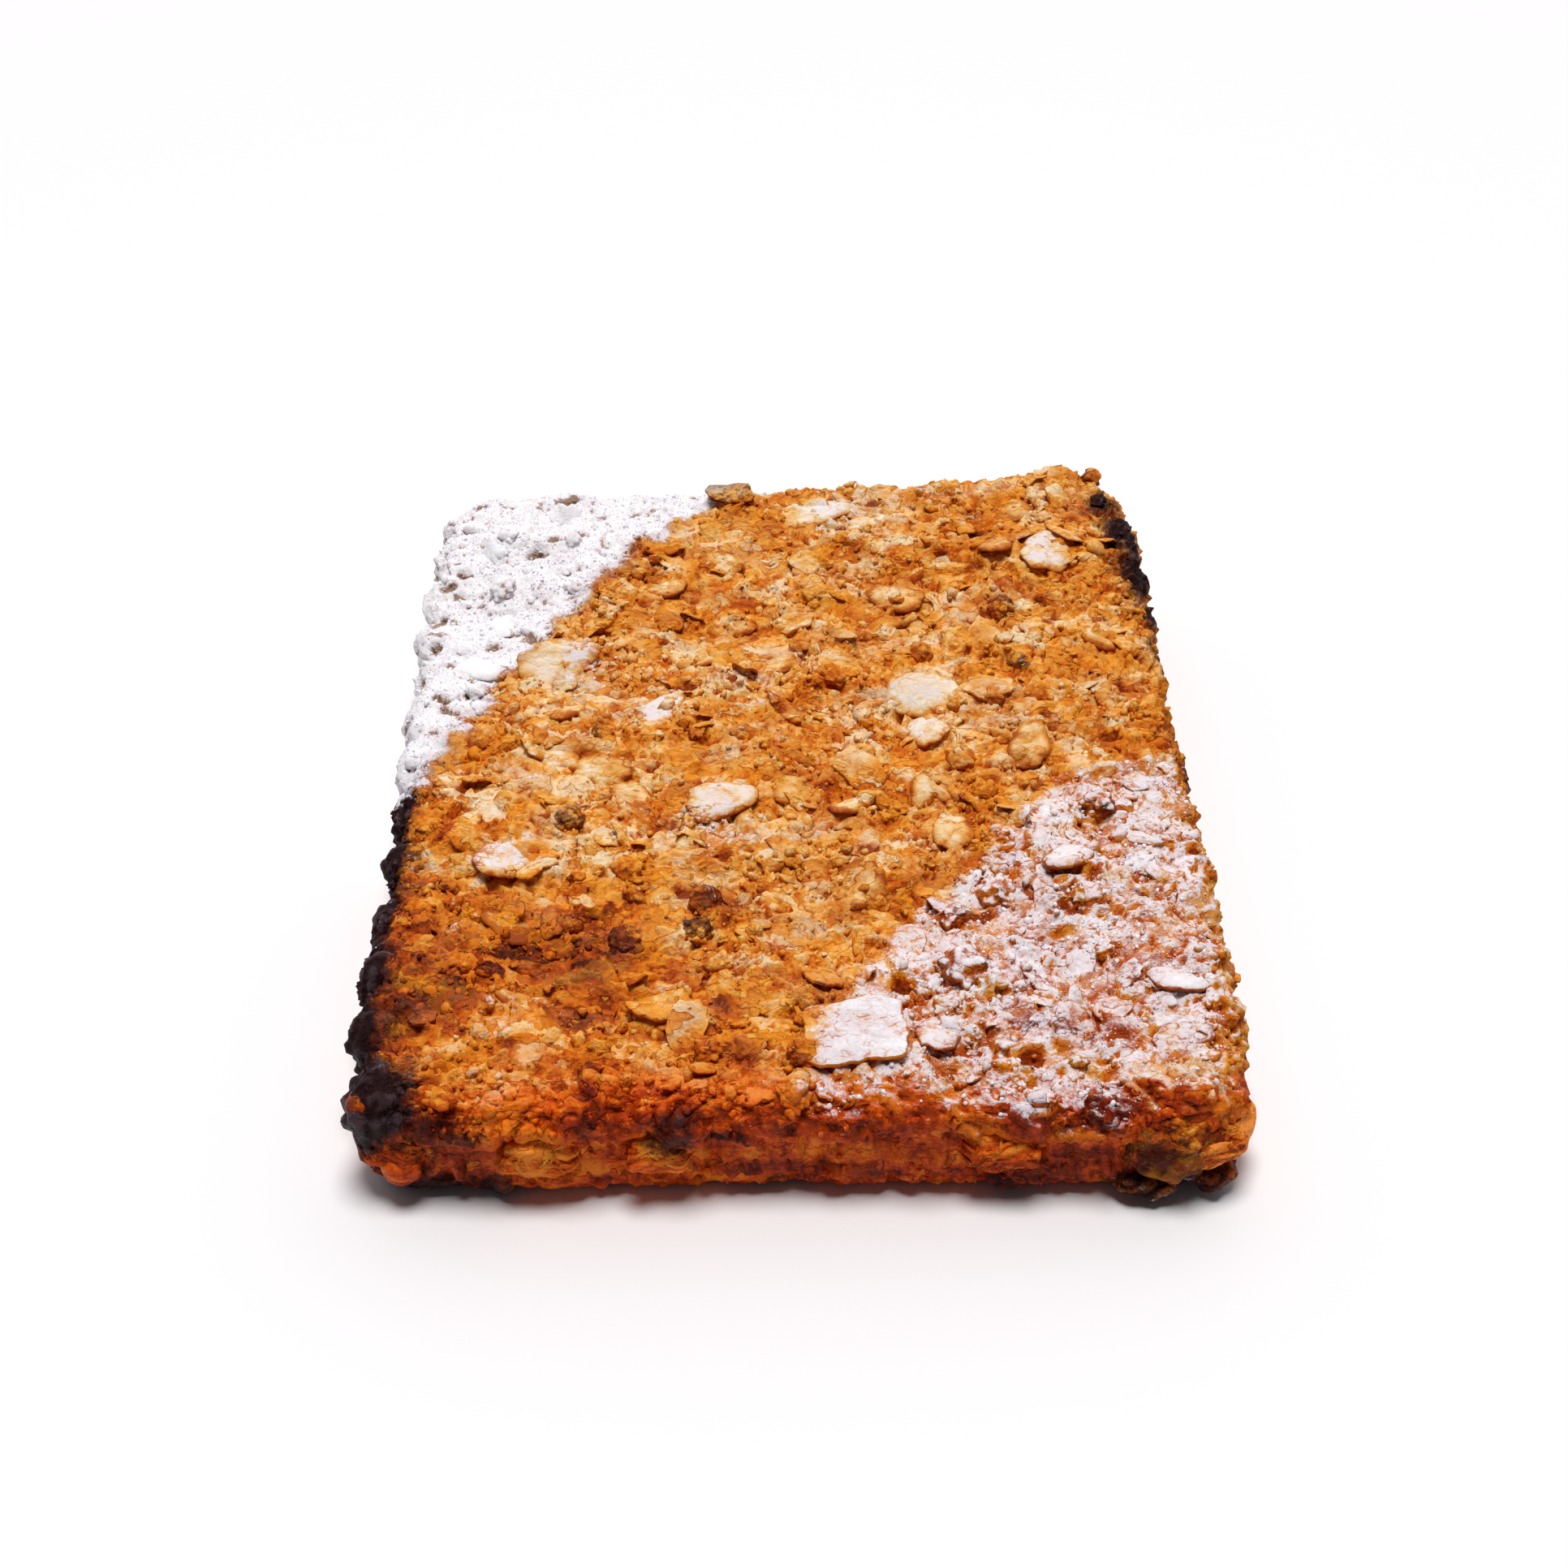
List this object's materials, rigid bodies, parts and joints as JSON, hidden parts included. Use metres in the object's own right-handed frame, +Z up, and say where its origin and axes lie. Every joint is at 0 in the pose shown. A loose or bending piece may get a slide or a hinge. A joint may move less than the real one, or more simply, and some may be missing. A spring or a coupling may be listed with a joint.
{
  "type": "angel hair coca",
  "caption": "Flat oblong baked pastry packet with a crimped rim, topped with almond slices and icing sugar, holding a layer of candied squash strands.",
  "frame": {"origin": "middle of the base, on the surface that the pastry rests on", "axes": "+Y along the length, from the near edge to the far edge; +X across, to the right; +Z up"},
  "size_m": [0.1514, 0.191, 0.0291],
  "materials": {
    "baked_crust": "rough baked crust, golden to dark brown, burnt along the rim",
    "candied_squash": "glossy translucent amber strands"
  },
  "bodies": {
    "root": {"pastry": "baked_crust", "filling": "candied_squash"}
  },
  "joints": []
}
